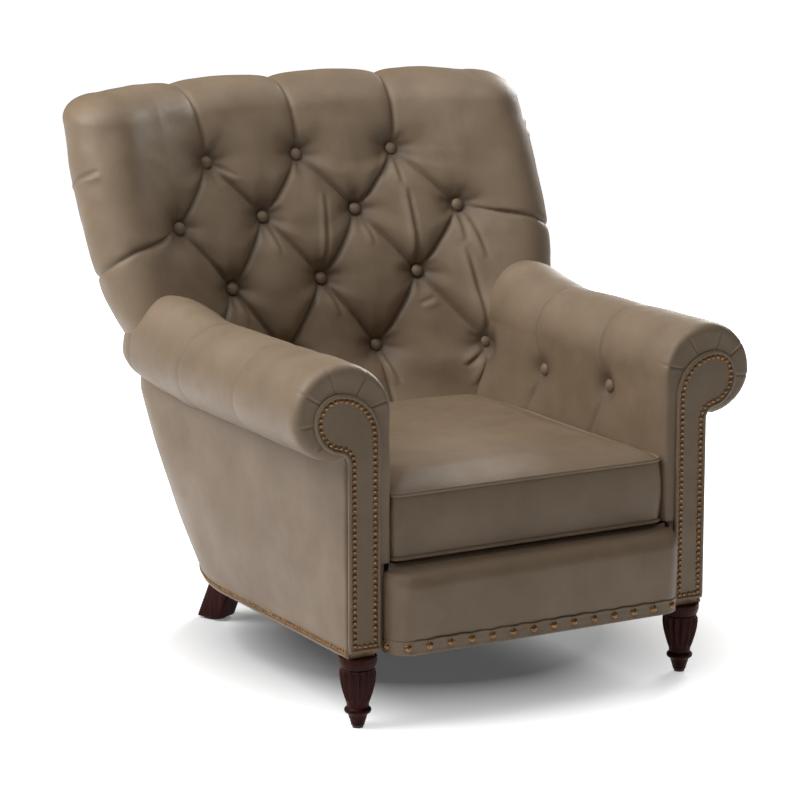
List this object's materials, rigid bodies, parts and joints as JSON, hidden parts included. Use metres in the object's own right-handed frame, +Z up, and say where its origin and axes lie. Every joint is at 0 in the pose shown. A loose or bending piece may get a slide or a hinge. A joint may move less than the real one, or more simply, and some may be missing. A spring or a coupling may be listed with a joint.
{
  "type": "club chair",
  "caption": "Leather club chair with a deep-buttoned leaning back, rolled arms, nailed scroll facings, a loose seat cushion and turned front legs.",
  "frame": {"origin": "on the floor under the middle of the chair's bounding box", "axes": "+X to the right of someone looking at the front of the chair, +Y towards its rear, +Z up"},
  "size_m": [1.016, 1.1073, 1.042],
  "materials": {
    "leather": "soft satin, fine grain",
    "leg_wood": "dark polished mahogany",
    "antique_brass": "antiqued",
    "frame_wood": "bare hardwood",
    "steel": "plain",
    "webbing": "woven jute",
    "lining_cloth": "black lining cloth",
    "cushion_filling": "wrapped filling",
    "glide_plastic": "moulded",
    "zip_tape": "woven tape"
  },
  "bodies": {
    "chair": {"arm_buttons_left": "leather", "arm_buttons_right": "leather", "arm_facing_left": "leather", "arm_facing_right": "leather", "arm_pad_left": "leather", "arm_pad_right": "leather", "arm_post_left": "frame_wood", "arm_post_right": "frame_wood", "arm_rail_left": "frame_wood", "arm_rail_right": "frame_wood", "back_buttons": "leather", "back_pad": "leather", "back_post_left": "frame_wood", "back_post_right": "frame_wood", "back_webbing": "webbing", "band_nails": "antique_brass", "base_welt": "leather", "corner_blocks": "frame_wood", "crest_rail": "frame_wood", "dust_cover": "lining_cloth", "facing_nails_left": "antique_brass", "facing_nails_right": "antique_brass", "facing_welt_left": "leather", "facing_welt_right": "leather", "foot_glides": "glide_plastic", "frame_dowels": "frame_wood", "front_apron": "leather", "front_band": "leather", "front_leg_left": "leg_wood", "front_leg_right": "leg_wood", "front_rail": "frame_wood", "leg_bolts": "steel", "leg_inserts": "steel", "lower_back_rail": "frame_wood", "outside_arm_left": "leather", "outside_arm_right": "leather", "outside_back": "leather", "rear_corner_rail_left": "frame_wood", "rear_corner_rail_right": "frame_wood", "rear_leg_left": "leg_wood", "rear_leg_right": "leg_wood", "rear_rail": "frame_wood", "seat_deck": "lining_cloth", "seat_springs": "steel", "side_nails_left": "antique_brass", "side_nails_right": "antique_brass", "side_rail_left": "frame_wood", "side_rail_right": "frame_wood", "spring_clips": "steel"},
    "cushion": {"cushion_core": "cushion_filling", "cushion_welt_bottom": "leather", "cushion_welt_top": "leather", "cushion_zip": "zip_tape", "seat_cushion": "leather"}
  },
  "joints": [
    {"name": "cushion_lift", "type": "slide", "parent": "chair", "child": "cushion", "axis": [0, 0, 1], "range_m": [0, 0.4]}
  ]
}
